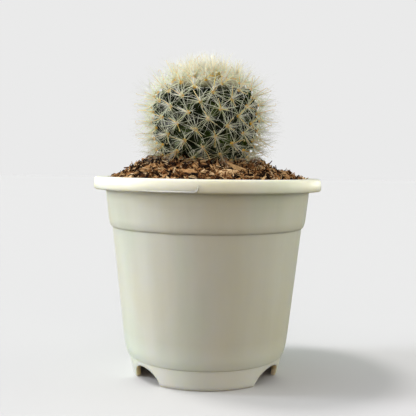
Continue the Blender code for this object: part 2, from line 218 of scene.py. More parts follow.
def lobe(direction, colour, sharpness):
    """A soft patch of light round a direction: ((1 + cos) / 2) ** sharpness * colour."""
    aim = Vector(direction).normalized()
    cosine = put(sky, "ShaderNodeVectorMath", {0: gaze, 1: aim}, "Value", operation="DOT_PRODUCT")
    half = math_node(sky, "MULTIPLY_ADD", cosine, 0.5, 0.5)
    shaped = math_node(sky, "POWER", half, sharpness)
    return put(sky, "ShaderNodeVectorMath", {0: colour, "Scale": shaped}, operation="SCALE")


def add_light(first, second):
    return put(sky, "ShaderNodeVectorMath", {0: first, 1: second}, operation="ADD")


total = None
for patch in LOBES:
    glow = lobe(*patch)
    total = glow if total is None else add_light(total, glow)
total = add_light(total, ROOM_GLOW)
seen = put(sky, "ShaderNodeLightPath", output="Is Camera Ray")
lit = put(sky, "ShaderNodeBackground", {"Color": total})
plain = put(sky, "ShaderNodeBackground", {"Color": (BACKGROUND_GREY,) * 3 + (1.0,)})
both = put(sky, "ShaderNodeMixShader", {0: seen, 1: lit, 2: plain})
put(sky, "ShaderNodeOutputWorld", {"Surface": both})
print("patches of light:", len(LOBES))

# %% [markdown]
# ## Building Geometry Nodes trees in a script
# A tree is nodes joined by links. Four helpers keep the trees below readable: one starts a tree with
# named inputs, one makes its random values, one ends it, and one runs the finished tree on an object
# and hands back a plain mesh, because instances would be lost when the model is written out.

# %% Tree helpers
def new_tree(name, inputs):
    """An empty tree with a Geometry input and output and the named inputs."""
    tree = bpy.data.node_groups.new(name, "GeometryNodeTree")
    tree.interface.new_socket("Geometry", in_out="INPUT", socket_type="NodeSocketGeometry")
    tree.interface.new_socket("Geometry", in_out="OUTPUT", socket_type="NodeSocketGeometry")
    for label, kind in inputs.items():
        tree.interface.new_socket(label, in_out="INPUT", socket_type="NodeSocket" + kind)
    return tree, tree.nodes.new("NodeGroupInput").outputs


def chance_maker(tree, seed):
    """Gives a maker of random values, each at its own step from the seed."""
    def chance(kind, low, high, step):
        stepped = math_node(tree, "ADD", seed, float(step))
        sockets = {"Min": low, "Max": high, "Seed": stepped}
        return put(tree, "FunctionNodeRandomValue", sockets, data_type=kind)
    return chance


def finish_tree(tree, geometry, material):
    """Ends a tree in Realize Instances and Set Material."""
    real = put(tree, "GeometryNodeRealizeInstances", {"Geometry": geometry})
    dressed = put(tree, "GeometryNodeSetMaterial", {"Geometry": real, "Material": material})
    put(tree, "NodeGroupOutput", {"Geometry": dressed})


def grow(name, source, tree, values, material):
    """Runs a tree on a source object and gives its result as a new object with a plain mesh."""
    holder = bpy.data.objects.new(name + "_source", source.data)
    scene.collection.objects.link(holder)
    modifier = holder.modifiers.new(tree.name, "NODES")
    modifier.node_group = tree
    for item in tree.interface.items_tree:
        if item.in_out == "INPUT" and item.name in values:
            modifier[item.identifier] = values[item.name]
    bpy.context.view_layer.update()
    seen_by = holder.evaluated_get(bpy.context.evaluated_depsgraph_get())
    mesh = bpy.data.meshes.new_from_object(seen_by)
    bpy.data.objects.remove(holder)
    mesh.name = name
    mesh.materials.clear()
    made = add_mesh(name, mesh, material)
    mesh.calc_loop_triangles()
    print(name, "triangles:", len(mesh.loop_triangles))
    return made


# %% [markdown]
# ## Material helpers
# Every finish below is a Principled shader fed by a few procedural nodes. Object coordinates keep a
# pattern fixed to its piece, because each finished piece's object stays at the origin.

# %% Material helpers
def start_material(name):
    made = bpy.data.materials.new(name)
    made.use_nodes = True
    return made, made.node_tree, made.node_tree.nodes["Principled BSDF"]


def ramp(tree, factor, stops):
    """A colour ramp from (position, (r, g, b)) stops."""
    made = tree.nodes.new("ShaderNodeValToRGB")
    tree.links.new(factor, made.inputs["Fac"])
    bar = made.color_ramp
    while len(bar.elements) < len(stops):
        bar.elements.new(0.5)
    for element, (place, colour) in zip(bar.elements, stops):
        element.position = place
        element.color = (*colour, 1.0)
    return made.outputs["Color"]


def noise_at(tree, scale, stretch=(1, 1, 1), detail=4.0):
    """Noise in object space, with features about 1 / scale metres wide, stretched along an axis."""
    place = put(tree, "ShaderNodeTexCoord", output="Object")
    mapped = put(tree, "ShaderNodeMapping", {"Vector": place, "Scale": stretch})
    return put(tree, "ShaderNodeTexNoise", {"Vector": mapped, "Scale": scale, "Detail": detail}, "Fac")


def height_at(tree, low, high):
    """0 at a height of low mm, 1 at high mm."""
    place = put(tree, "ShaderNodeTexCoord", output="Object")
    split = put(tree, "ShaderNodeSeparateXYZ", {"Vector": place}, "Z")
    return put(tree, "ShaderNodeMapRange", {"Value": split, "From Min": low * MM, "From Max": high * MM})


def bump(tree, shader, height, depth):
    made = put(tree, "ShaderNodeBump", {"Height": height, "Distance": depth, "Strength": 1.0})
    tree.links.new(made, shader.inputs["Normal"])


def mottled(name, pattern_scale, stops, roughness, stretch=(1, 1, 1)):
    """A matt finish whose colour follows one noise."""
    made, tree, shader = start_material(name)
    pattern = noise_at(tree, pattern_scale, stretch)
    tree.links.new(ramp(tree, pattern, stops), shader.inputs["Base Color"])
    shader.inputs["Roughness"].default_value = roughness
    return made, tree, shader, pattern


print("material helpers ready")


# %% [markdown]
# ## Pot
# The pot is moulded polypropylene: a tapering wall, a collar that steps out over it, a rolled rim and
# a foot ring on three arches. A lathe shape like this needs only its side view. The stations below
# are (radius, height, rounding) in mm; each corner is rounded by its own small arc, then the line is
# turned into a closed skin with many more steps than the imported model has, so that no facets show.

# %% Turned shapes
TURN_STEPS = 160


def rounded(stations, arc_points=4):
    """Replaces each corner that has a rounding by a short curve."""
    line = []
    for k, (radius, height, rounding) in enumerate(stations):
        here = np.array([radius, height])
        if rounding == 0 or k in (0, len(stations) - 1):
            line.append(here)
            continue
        ends = []
        for other in (stations[k - 1], stations[k + 1]):
            way = np.array(other[:2]) - here
            size = np.hypot(*way)
            ends.append(here + way / size * min(rounding, 0.45 * size))
        for t in np.linspace(0, 1, arc_points):
            line.append((1 - t) ** 2 * ends[0] + 2 * t * (1 - t) * here + t ** 2 * ends[1])
    return line


def turned(name, line):
    """A closed skin turned about Z from a line whose two ends lie on the axis."""
    shape = bmesh.new()
    rings = []
    for radius, height in line:
        if radius < 1e-6:
            rings.append([shape.verts.new((0, 0, height * MM))])
            continue
        rings.append([
            shape.verts.new((radius * math.sin(a) * MM, -radius * math.cos(a) * MM, height * MM))
            for a in np.arange(TURN_STEPS) * 2 * math.pi / TURN_STEPS
        ])
    for first, second in zip(rings, rings[1:]):
        for k in range(TURN_STEPS):
            after = (k + 1) % TURN_STEPS
            corners = [first[k % len(first)], second[k % len(second)],
                       second[after % len(second)], first[after % len(first)]]
            shape.faces.new(list(dict.fromkeys(corners)))
    bmesh.ops.recalc_face_normals(shape, faces=shape.faces)
    return add_mesh(name, mesh_of(shape, name))


def arched(centre, radius, start, end, count):
    return [(centre[0] + radius * math.cos(a), centre[1] + radius * math.sin(a), 0.0)
            for a in np.radians(np.linspace(start, end, count))]


RIM_TOP = 107.8
BAND_CENTRE = (51.6, 103.8)
BAND_RADIUS = 10.5
band = arched(BAND_CENTRE, BAND_RADIUS, 18.0, -11.0, 12)
outside = rounded([
    # the rim's top, its rounded band and its underside
    (0.0, RIM_TOP, 0), (band[0][0] - 0.35, RIM_TOP - 0.05, 0.7), *band, (61.4, 101.1, 0.4),
    (59.9, 101.1, 0.3), (59.9, 106.2, 0.4), (56.3, 106.2, 0.8),
    # the collar and the step under it
    (53.9, 84.3, 2.2), (53.0, 81.4, 0.7), (51.95, 80.7, 0.2), (51.85, 79.9, 0.6),
    # the wall's end and the heel
    (45.3, 20.5, 5.0), (44.5, 15.4, 2.0), (43.1, 11.3, 0.3), (42.35, 10.9, 0.15), (42.3, 10.3, 0.5),
    # the foot ring, then up its inside to the floor
    (40.2, 1.4, 0.8), (39.5, 0.0, 0.4), (37.4, 0.0, 0.4), (37.1, 0.8, 0.4), (39.2, 9.2, 0.5),
    (38.4, 10.0, 0.3), (0.0, 10.0, 0),
])
hollow = rounded([
    (0.0, RIM_TOP + 2.0, 0), (55.02, RIM_TOP + 2.0, 0), (54.8, RIM_TOP, 0), (52.4, 84.8, 1.5),
    (50.8, 81.0, 0.6), (50.4, 80.3, 0.6), (43.7, 20.3, 6.0), (41.0, 12.7, 1.0), (39.8, 11.5, 0.5),
    (0.0, 11.5, 0),
])
print("pot line points:", len(outside), len(hollow))

# %% [markdown]
# ## Arches and drain slots
# The three arches let water out, and six slots drain the floor. All are cut with a Boolean, as a mould
# would leave them: flattened bars laid from the middle outwards make the arches, short rounded bars the
# slots. The sharp edges that the cut leaves on the arches are then rounded with a small bevel.

# %% Cutting bars
# Each arch: its direction from the front in degrees, half its width and its height in mm.
ARCHES = ((-51.3, 11.0, 8.7), (57.5, 12.1, 8.9), (180.5, 12.1, 8.9))
ARCH_REACH = 36.0
SLOT_COUNT = 6
SLOT_TURN = 31.8
SLOT_RADIUS = 1.8
SLOT_NEAR, SLOT_FAR = 12.8, 22.2


def arch_bars(name):
    shape = bmesh.new()
    for azimuth, half_width, height in ARCHES:
        size = Matrix.Diagonal((half_width * MM, height * MM, 24.0 * MM, 1.0))
        turn = Matrix.Rotation(math.radians(azimuth), 4, "Z")
        lay = Matrix.Translation((0, -ARCH_REACH * MM, 0)) @ Matrix.Rotation(math.radians(90), 4, "X")
        bmesh.ops.create_cone(shape, cap_ends=True, segments=72, radius1=1.0, radius2=1.0, depth=1.0,
                              matrix=turn @ lay @ size)
    return add_mesh(name, mesh_of(shape, name))


def slot_bars(name):
    """Rounded drain slots that fan out from the middle of the floor."""
    shape = bmesh.new()
    for k in range(SLOT_COUNT):
        turn = Matrix.Rotation(math.radians(60 * k + SLOT_TURN), 4, "Z")
        sides = [(SLOT_RADIUS * math.cos(a), y + SLOT_RADIUS * math.sin(a))
                 for y, start in ((SLOT_FAR, 0), (SLOT_NEAR, 180))
                 for a in np.radians(np.linspace(start, start + 180, 9))]
        low, high = (
            [shape.verts.new(turn @ Vector((x * MM, -y * MM, z * MM))) for x, y in sides]
            for z in (8, 13)
        )
        for i in range(len(sides)):
            j = (i + 1) % len(sides)
            shape.faces.new((low[i], low[j], high[j], high[i]))
        shape.faces.new(low[::-1])
        shape.faces.new(high)
    bmesh.ops.recalc_face_normals(shape, faces=shape.faces)
    return add_mesh(name, mesh_of(shape, name))


def carve(target, cutter):
    """Cuts one closed shape out of another and keeps the result as a plain mesh."""
    knife = target.modifiers.new("cut", "BOOLEAN")
    knife.operation = "DIFFERENCE"
    knife.solver = "EXACT"
    knife.object = cutter
    bpy.context.view_layer.update()
    cut = target.evaluated_get(bpy.context.evaluated_depsgraph_get())
    result = bpy.data.meshes.new_from_object(cut)
    target.modifiers.clear()
    target.data = result
    bpy.data.objects.remove(cutter)


print("arches:", len(ARCHES), "slots:", SLOT_COUNT)

# %% [markdown]
# The shell is a turned solid. A second turned shape hollows it, and the bars cut its foot and its floor.
# The bevel takes only the sharp edges near the foot ring, so the wall and the rim keep their own curves.

# %% Pot
RING_INSIDE = 35.5
ARCH_BEVEL = 0.6


def soften_arches(target):
    """Rounds the edges of the arches with a narrow bevel."""
    shape = bmesh.new()
    shape.from_mesh(target.data)
    bmesh.ops.remove_doubles(shape, verts=shape.verts, dist=0.002 * MM)
    sharp = []
    for edge in shape.edges:
        middle = (edge.verts[0].co + edge.verts[1].co) / 2
        near_ring = 0.3 * MM < middle.z < 9.6 * MM and math.hypot(middle.x, middle.y) > RING_INSIDE * MM
        if near_ring and len(edge.link_faces) == 2 and edge.calc_face_angle() > math.radians(50):
            sharp.append(edge)
    bmesh.ops.bevel(shape, geom=sharp, offset=ARCH_BEVEL * MM, offset_type="OFFSET", segments=3,
                    profile=0.5, affect="EDGES", clamp_overlap=True)
    shape.to_mesh(target.data)
    shape.free()
    print("arch edges rounded:", len(sharp))


pot = turned("pot_shell", outside)
carve(pot, turned("core", hollow))
carve(pot, arch_bars("arches"))
carve(pot, slot_bars("slots"))
soften_arches(pot)
pot.data.shade_smooth()
pot.data.set_sharp_from_angle(angle=math.radians(38))
pot.data.calc_loop_triangles()
print("pot triangles:", len(pot.data.loop_triangles))

# %% [markdown]
# ## Plastic
# The plastic is cream, satin and a little cloudy, so light sinks in before it comes back. Where dark mix
# stands behind the thin wall the pot looks deeper in tone than at the free rim, the heel and the foot. The
# colour changes with height as painted shade on the wall and painted light on the rim, the collar under it,
# the heel and the foot, and the rim also carries painted light from above. The inner faces of the foot ring
# have a painted warm glow, as of light that has passed through the plastic. Faint upright flow streaks,
# soft clouds and a fine unevenness break up the surface.

# %% Pot finish
# Painted light and shade by height: a darker wall, a lighter rim, heel and foot, and a warm painted glow
# inside the foot ring.
WALL_TINTS_PAINTED_SHADE = [(0.3, (0.675, 0.70, 0.62)), (0.7, (0.725, 0.75, 0.68))]
LIP_TINTS_PAINTED_LIGHT = [(0.3, (0.87, 0.91, 0.77)), (0.7, (0.91, 0.95, 0.81))]
HEEL_TINT_PAINTED_LIGHT = (0.79, 0.85, 0.79)
FOOT_TINT_PAINTED_LIGHT = (0.88, 0.94, 0.865)
FOOT_INSIDE_PAINTED_GLOW = (0.84, 0.73, 0.56)
CLOUDS = [(0.36, (0.955, 1.0, 0.97)), (0.5, (1.0, 1.0, 1.0)), (0.66, (1.0, 0.97, 0.92))]


def inside_ring(tree):
    """1 on the inner faces of the foot ring, 0 on its tapering outer face."""
    place = put(tree, "ShaderNodeTexCoord", output="Object")
    across = put(tree, "ShaderNodeVectorMath", {0: place, 1: (1.0, 1.0, 0.0)}, operation="MULTIPLY")
    reach = put(tree, "ShaderNodeVectorMath", {0: across}, "Value", operation="LENGTH")
    taper = put(tree, "ShaderNodeMapRange", {"Value": height_at(tree, 0.0, 10.0), "To Max": 2.36 * MM})
    straight = math_node(tree, "SUBTRACT", reach, taper)
    sockets = {"Value": straight, "From Min": 39.75 * MM, "From Max": 39.2 * MM}
    return put(tree, "ShaderNodeMapRange", sockets)


def plastic_material():
    made, tree, shader = start_material("cream_plastic")
    wall = ramp(tree, noise_at(tree, 90.0, (1.0, 1.0, 0.06), 3.0), WALL_TINTS_PAINTED_SHADE)
    lip = ramp(tree, noise_at(tree, 150.0), LIP_TINTS_PAINTED_LIGHT)
    # painted light: the collar under the rim and the rim turn lighter, then the heel
    tint = blend_colours(tree, height_at(tree, 94.0, 103.5), wall, lip)
    tint = blend_colours(tree, height_at(tree, 25.0, 12.5), tint, HEEL_TINT_PAINTED_LIGHT)
    # painted warm glow on the inner faces of the foot ring, painted light on its outer face
    foot = blend_colours(tree, inside_ring(tree), FOOT_TINT_PAINTED_LIGHT, FOOT_INSIDE_PAINTED_GLOW)
    tint = blend_colours(tree, height_at(tree, 12.0, 9.5), tint, foot)
    cloud = ramp(tree, noise_at(tree, 32.0, (1.0, 1.0, 0.5), 2.0), CLOUDS)
    tint = blend_colours(tree, 1.0, tint, cloud, "MULTIPLY")
    tree.links.new(tint, shader.inputs["Base Color"])
    shader.inputs["Subsurface Weight"].default_value = 0.8
    shader.inputs["Subsurface Radius"].default_value = (1.0, 0.95, 0.7)
    shader.inputs["Subsurface Scale"].default_value = 4.0 * MM
    gloss = {"Value": noise_at(tree, 500.0), "To Min": 0.30, "To Max": 0.42}
    tree.links.new(put(tree, "ShaderNodeMapRange", gloss), shader.inputs["Roughness"])
    bump(tree, shader, noise_at(tree, 220.0, (1.0, 1.0, 0.15)), 0.05 * MM)
    return made


plastic = plastic_material()
pot.data.materials.clear()
pot.data.materials.append(plastic)
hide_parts("pot")
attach(pot, "root")
print("pot faces:", len(pot.data.polygons))

# %% [markdown]
# ## Mould line
# Where the two halves of a mould meet, a moulded rim keeps a fine raised line. Here it runs along the
# lower edge of the rim at the front left and turns up near the middle. A line of places on the rim's
# surface, given a thin round section as a curve and then turned into a mesh, makes it a real bead.

# %% Mould line
BEAD_RADIUS = 0.42
BEAD_SINK = 0.02
BEAD_HEIGHT = 101.7
BEAD_START, BEAD_END = -36.0, -6.0
CURL = 2.0


def bead_places():
    """(azimuth in degrees, height in mm) along the bead: a level run, then a small curl upwards."""
    run = [(turn, BEAD_HEIGHT) for turn in np.linspace(BEAD_START, BEAD_END, 31)]
    return run + [(BEAD_END + CURL * math.sin(a), BEAD_HEIGHT + CURL - CURL * math.cos(a))
                  for a in np.linspace(0.2, 2.2, 9)]


def mould_line():
    curve = bpy.data.curves.new("mould_line", "CURVE")
    curve.dimensions = "3D"
    curve.bevel_depth = BEAD_RADIUS * MM
    curve.bevel_resolution = 2
    curve.use_fill_caps = True
    places = bead_places()
    line = curve.splines.new("POLY")
    line.points.add(len(places) - 1)
    for k, (target, (turn, height)) in enumerate(zip(line.points, places)):
        bulge = math.sqrt(BAND_RADIUS ** 2 - (height - BAND_CENTRE[1]) ** 2)
        out = BAND_CENTRE[0] + bulge - BEAD_SINK
        angle = math.radians(turn)
        target.co = (out * math.sin(angle) * MM, -out * math.cos(angle) * MM, height * MM, 1.0)
        target.radius = min(1.0, 0.2 + 0.07 * k)
    holder = bpy.data.objects.new("mould_line", curve)
    scene.collection.objects.link(holder)
    bpy.context.view_layer.update()
    shown_as = holder.evaluated_get(bpy.context.evaluated_depsgraph_get())
    mesh = bpy.data.meshes.new_from_object(shown_as)
    bpy.data.objects.remove(holder)
    mesh.materials.clear()
    mesh.shade_smooth()
    return add_mesh("mould_line", mesh, plastic)


bead = mould_line()
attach(bead, "root")
print("mould line faces:", len(bead.data.polygons))

# %% [markdown]
# ## Growing points
# Each areole, the small felt pad that the spines grow from, stands on the tip of a tubercle. Real
# stems set them on a spiral, each one a golden angle past the last. The points are worked out first,
# because the skin, the pads and every kind of spine follow them. They are stored as a mesh of loose
# points with the outward direction and the spacing as attributes, which Geometry Nodes can read.

# %% Areole points
# Sizes in mm. The stem is a rounded block: a higher power makes its side view squarer.
STEM_OFFSET = -1.8
STEM_RADIUS = 29.5
STEM_WAIST = 141.0
STEM_RISE = 22.0
STEM_DROP = 31.0
STEM_POWER = 2.6
FULL_SPACING = 9.5
YOUNG_SPACING = 1.9
GROWTH_LENGTH = 10.0
GOLDEN_ANGLE = math.pi * (3 - math.sqrt(5))


def stem_point(direction):
    """A point over the tubercles' tips in mm, from the pot's axis, along a unit direction."""
    across = math.hypot(direction[0], direction[1])
    reach = STEM_RADIUS * across ** (2 / STEM_POWER)
    half = STEM_RISE if direction[2] > 0 else STEM_DROP
    height = STEM_WAIST + math.copysign(half * abs(direction[2]) ** (2 / STEM_POWER), direction[2])
    if across < 1e-9:
        return (STEM_OFFSET, 0.0, height)
    return (STEM_OFFSET + reach * direction[0] / across, reach * direction[1] / across, height)


def areoles():
    """(tip, outward, spacing, turns) of each areole in mm, outwards from the apex along the spiral."""
    polar = np.linspace(0.0, math.pi, 721)
    line = np.array([stem_point((math.sin(a), 0.0, math.cos(a))) for a in polar])
    line[:, 0] -= STEM_OFFSET
    steps = np.hypot(np.diff(line[:, 0]), np.diff(line[:, 2]))
    along = np.concatenate([[0.0], np.cumsum(steps)])
    middle = (line[1:, 0] + line[:-1, 0]) / 2
    spacing = FULL_SPACING + (YOUNG_SPACING - FULL_SPACING) * np.exp(-along / GROWTH_LENGTH)
    cell = math.sqrt(3) / 2 * ((spacing[1:] + spacing[:-1]) / 2) ** 2
    count = np.concatenate([[0.0], np.cumsum(2 * math.pi * middle * steps / cell)])
    slope = np.gradient(line[:, [0, 2]], axis=0)
    made = []
    for n in range(int(count[-1])):
        radius, height, dx, dz, gap = (
            np.interp(n + 0.5, count, v) for v in (line[:, 0], line[:, 2], *slope.T, spacing)
        )
        turn = n * GOLDEN_ANGLE
        outward = Vector((-dz * math.cos(turn), -dz * math.sin(turn), dx)).normalized()
        tip = Vector((radius * math.cos(turn) + STEM_OFFSET, radius * math.sin(turn), height))
        made.append((tip, outward, gap))
    return made


def point_cloud(name, rows):
    """Loose points in metres that carry their outward direction and spacing."""
    mesh = bpy.data.meshes.new(name)
    mesh.from_pydata([tip * MM for tip, _, _ in rows], [], [])
    outward = mesh.attributes.new("outward", "FLOAT_VECTOR", "POINT")
    outward.data.foreach_set("vector", [v for _, way, _ in rows for v in way])
    spacing = mesh.attributes.new("spacing", "FLOAT", "POINT")
    spacing.data.foreach_set("value", [gap * MM for _, _, gap in rows])
    return add_mesh(name, mesh)


MIX_LINE = 117.0
grown = areoles()
shown = [row for row in grown if row[0].z > MIX_LINE]
print("areoles:", len(grown), "over the mix:", len(shown))

# %% [markdown]
# ## Stem skin
# The skin is a globe pulled out at each areole into a rounded tubercle, with dark valleys between
# them. Sculpting a hundred tubercles by hand would be slow and uneven. A rule does it: every point of
# a fine ball moves inwards by an amount that grows with its distance from the nearest areole.

# %% Stem shape
TUBERCLE_DEPTH = 5.0
TUBERCLE_REACH = 0.58
TUBERCLE_POWER = 1.6


def stem_ball():
    ball = bmesh.new()
    bmesh.ops.create_uvsphere(ball, u_segments=288, v_segments=150, radius=1.0)
    for vertex in ball.verts:
        vertex.co = Vector(stem_point(vertex.co.normalized())) * MM
    return add_mesh("stem_ball", mesh_of(ball, "stem_ball"))


def tubercle_tree(material):
    tree, given = new_tree("tubercles", {"Areoles": "Object", "Depth": "Float"})
    cloud = put(tree, "GeometryNodeObjectInfo", {"Object": given["Areoles"]}, "Geometry")
    away = put(tree, "GeometryNodeProximity", {"Geometry": cloud}, "Distance", target_element="POINTS")
    index = put(tree, "GeometryNodeSampleNearest", {"Geometry": cloud})
    named = put(tree, "GeometryNodeInputNamedAttribute", {"Name": "spacing"}, "Attribute")
    spacing = put(tree, "GeometryNodeSampleIndex", {"Geometry": cloud, "Value": named, "Index": index})
    reach = math_node(tree, "MULTIPLY", spacing, TUBERCLE_REACH)
    share = math_node(tree, "MINIMUM", math_node(tree, "DIVIDE", away, reach), 1.0)
    fall = math_node(tree, "POWER", share, TUBERCLE_POWER)
    young = math_node(tree, "DIVIDE", spacing, FULL_SPACING * MM)
    sink = math_node(tree, "MULTIPLY", math_node(tree, "MULTIPLY", fall, given["Depth"]), young)
    normal = put(tree, "GeometryNodeInputNormal")
    inward = math_node(tree, "MULTIPLY", sink, -1.0)
    offset = put(tree, "ShaderNodeVectorMath", {0: normal, "Scale": inward}, operation="SCALE")
    moved = put(tree, "GeometryNodeSetPosition", {"Geometry": given["Geometry"], "Offset": offset})
    smooth = put(tree, "GeometryNodeSetShadeSmooth", {"Geometry": moved})
    finish_tree(tree, smooth, material)
    return tree


print("a fine ball will sink", TUBERCLE_DEPTH, "mm between its areoles")

# %% [markdown]
# The skin is a deep green, nearly black in the valleys, with a few lighter patches. Near the tip the
# colour turns pale cream with height: partly young wool, partly painted light in the shaded gaps among
# the crown spines.

# %% Stem skin
# pale cream at the apex: partly wool, partly painted light in the shaded gaps among the crown spines
WOOL_AND_PAINTED_LIGHT = (0.62, 0.58, 0.40)


def skin_material():
    made, tree, shader = start_material("cactus_skin")
    fine = noise_at(tree, 900.0)
    green = ramp(tree, fine, [(0.3, (0.0015, 0.003, 0.001)), (0.7, (0.014, 0.026, 0.006))])
    broad = noise_at(tree, 120.0, detail=2.0)
    patch = ramp(tree, broad, [(0.5, (1, 1, 1)), (0.75, (6.0, 5.5, 2.5))])
    green = blend_colours(tree, 1.0, green, patch, "MULTIPLY")
    # painted light at the apex, blended in with height
    green = blend_colours(tree, height_at(tree, 154.0, 161.0), green, WOOL_AND_PAINTED_LIGHT)
    tree.links.new(green, shader.inputs["Base Color"])
    shader.inputs["Roughness"].default_value = 0.6
    shader.inputs["Specular IOR Level"].default_value = 0.08
    bump(tree, shader, fine, 0.15 * MM)
    return made


areole_cloud = point_cloud("areole_cloud", grown)
ball = stem_ball()
skin = skin_material()
stem_sizes = {"Areoles": areole_cloud, "Depth": TUBERCLE_DEPTH * MM}
stem = grow("stem_skin", ball, tubercle_tree(skin), stem_sizes, skin)
bpy.data.objects.remove(ball)
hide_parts("cactus_stem")
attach(stem, "root")

# %% [markdown]
# ## Spines
# Three kinds of spine grow from each areole: a flat star of fine pale radials, longer white hairs
# that stand out as a halo, and two golden centrals that end in a hook. A particle system
# could scatter them, but only a tree gives each areole its own evenly fanned star. The same tree
# makes all three: it copies each areole's point, turns and tilts each copy about the outward
# direction, sets a thin curve there, bends it a little, and gives it a tapering round section.

# %% Spine tree
TURN_SLACK = 1.1
TAPER = 0.6


def spine_tree(material, sides):
    inputs = {
        "Shape": "Object", "Count": "Int", "Tilt Low": "Float", "Tilt High": "Float",
        "Length Low": "Float", "Length High": "Float", "Thickness": "Float", "Sway": "Float",
        "Lift": "Float", "Seed": "Int",
    }
    tree, given = new_tree("spines", inputs)
    chance = chance_maker(tree, given["Seed"])
    outward = put(tree, "GeometryNodeInputNamedAttribute", {"Name": "outward"}, "Attribute",
                  data_type="FLOAT_VECTOR")
    copies = tree.nodes.new("GeometryNodeDuplicateElements")
    copies.domain = "POINT"
    tree.links.new(given["Geometry"], copies.inputs["Geometry"])
    tree.links.new(given["Count"], copies.inputs["Amount"])
    share = math_node(tree, "DIVIDE", copies.outputs["Duplicate Index"], given["Count"])
    even = math_node(tree, "MULTIPLY", share, 2 * math.pi)
    turn = math_node(tree, "ADD", even, chance("FLOAT", 0.0, TURN_SLACK, 1))
    tilt = chance("FLOAT", given["Tilt Low"], given["Tilt High"], 2)
    upright = put(tree, "FunctionNodeAlignRotationToVector", {"Vector": outward}, axis="Z")
    about = put(tree, "FunctionNodeAxisAngleToRotation", {"Axis": (0, 0, 1), "Angle": turn})
    over = put(tree, "FunctionNodeAxisAngleToRotation", {"Axis": (1, 0, 0), "Angle": tilt})
    fanned = put(tree, "FunctionNodeRotateRotation", {"Rotation": upright, "Rotate By": about},
                 rotation_space="LOCAL")
    tilted = put(tree, "FunctionNodeRotateRotation", {"Rotation": fanned, "Rotate By": over},
                 rotation_space="LOCAL")
    lift = put(tree, "ShaderNodeVectorMath", {0: outward, "Scale": given["Lift"]}, operation="SCALE")
    raised = put(tree, "GeometryNodeSetPosition", {"Geometry": copies.outputs["Geometry"], "Offset": lift})
    shape = put(tree, "GeometryNodeObjectInfo", {"Object": given["Shape"]}, "Geometry")
    length = chance("FLOAT", given["Length Low"], given["Length High"], 3)
    set_out = put(tree, "GeometryNodeInstanceOnPoints",
                  {"Points": raised, "Instance": shape, "Rotation": tilted, "Scale": length})
    for label, kind, low, high, step in (
        ("tone", "FLOAT", 0.0, 1.0, 4), ("sway", "FLOAT_VECTOR", (-1.0, -1.0, -1.0), (1.0, 1.0, 1.0), 5),
    ):
        sockets = {"Geometry": set_out, "Name": label, "Value": chance(kind, low, high, step)}
        set_out = put(tree, "GeometryNodeStoreNamedAttribute", sockets, domain="INSTANCE", data_type=kind)
    curves = put(tree, "GeometryNodeRealizeInstances", {"Geometry": set_out})
    along = put(tree, "GeometryNodeSplineParameter", output="Factor")
    curves = put(tree, "GeometryNodeStoreNamedAttribute",
                 {"Geometry": curves, "Name": "along", "Value": along}, domain="POINT", data_type="FLOAT")
    sway = put(tree, "GeometryNodeInputNamedAttribute", {"Name": "sway"}, "Attribute",
               data_type="FLOAT_VECTOR")
    bend = math_node(tree, "MULTIPLY", math_node(tree, "POWER", along, 2.0), given["Sway"])
    offset = put(tree, "ShaderNodeVectorMath", {0: sway, "Scale": bend}, operation="SCALE")
    bent = put(tree, "GeometryNodeSetPosition", {"Geometry": curves, "Offset": offset})
    thin = math_node(tree, "MULTIPLY_ADD", along, -TAPER, 1.0)
    girth = math_node(tree, "MULTIPLY", thin, given["Thickness"])
    profile = put(tree, "GeometryNodeCurvePrimitiveCircle", {"Resolution": sides, "Radius": 0.5})
    tubes = put(tree, "GeometryNodeCurveToMesh",
                {"Curve": bent, "Profile Curve": profile, "Scale": girth, "Fill Caps": True})
    finish_tree(tree, put(tree, "GeometryNodeSetShadeSmooth", {"Geometry": tubes}), material)
    return tree


print("spine tree ready, taper:", TAPER)

# %% [markdown]
# Three template lines are enough: a short bristle, a longer hair with a little bow, and a shaft that
# curls over at its top. Each is one unit long and stands along Z, so its copy's scale is its length.

# %% Spine templates
def spine_shape(name, points):
    """A curve along Z, one unit long, that the tree copies."""
    curve = bpy.data.curves.new(name, "CURVE")
    curve.dimensions = "3D"
    spline = curve.splines.new("POLY")
    spline.points.add(len(points) - 1)
    for target, point in zip(spline.points, points):
        target.co = (*point, 1.0)
    made = bpy.data.objects.new(name, curve)
    scene.collection.objects.link(made)
    return made


def straight_points(count, bow):
    """A slightly bowed line from the origin to a height of one."""
    return [(0.0, bow * math.sin(math.pi * k / (count - 1)), k / (count - 1)) for k in range(count)]


def hooked_points(radius, count):
    """A straight shaft that curls over at its top."""
    top = 1.0 - radius
    shaft = [(0.0, -0.02 * math.sin(math.pi * t), top * t) for t in (0.0, 0.3, 0.6, 0.85, 1.0)]
    turn = [math.radians(20 + 170 * k / (count - 1)) for k in range(count)]
    return shaft + [(0.0, radius * (1 - math.cos(a)), top + radius * math.sin(a)) for a in turn]


bristle_shape = spine_shape("bristle_shape", straight_points(5, 0.05))
hair_shape = spine_shape("hair_shape", straight_points(6, 0.08))
hook_shape = spine_shape("hook_shape", hooked_points(0.08, 6))
print("spine templates:", [shape.name for shape in (bristle_shape, hair_shape, hook_shape)])

# %% [markdown]
# Every kind of spine shares one finish. A spine is golden at its base and paler along its length, no
# two have quite the same tone, and the lowest are stained brown by the mix. Light passes into a thin
# spine, so the finish is all subsurface.

# %% Spine finish
STAIN = [(0.0, (0.42, 0.32, 0.20)), (1.0, (1.0, 1.0, 1.0))]


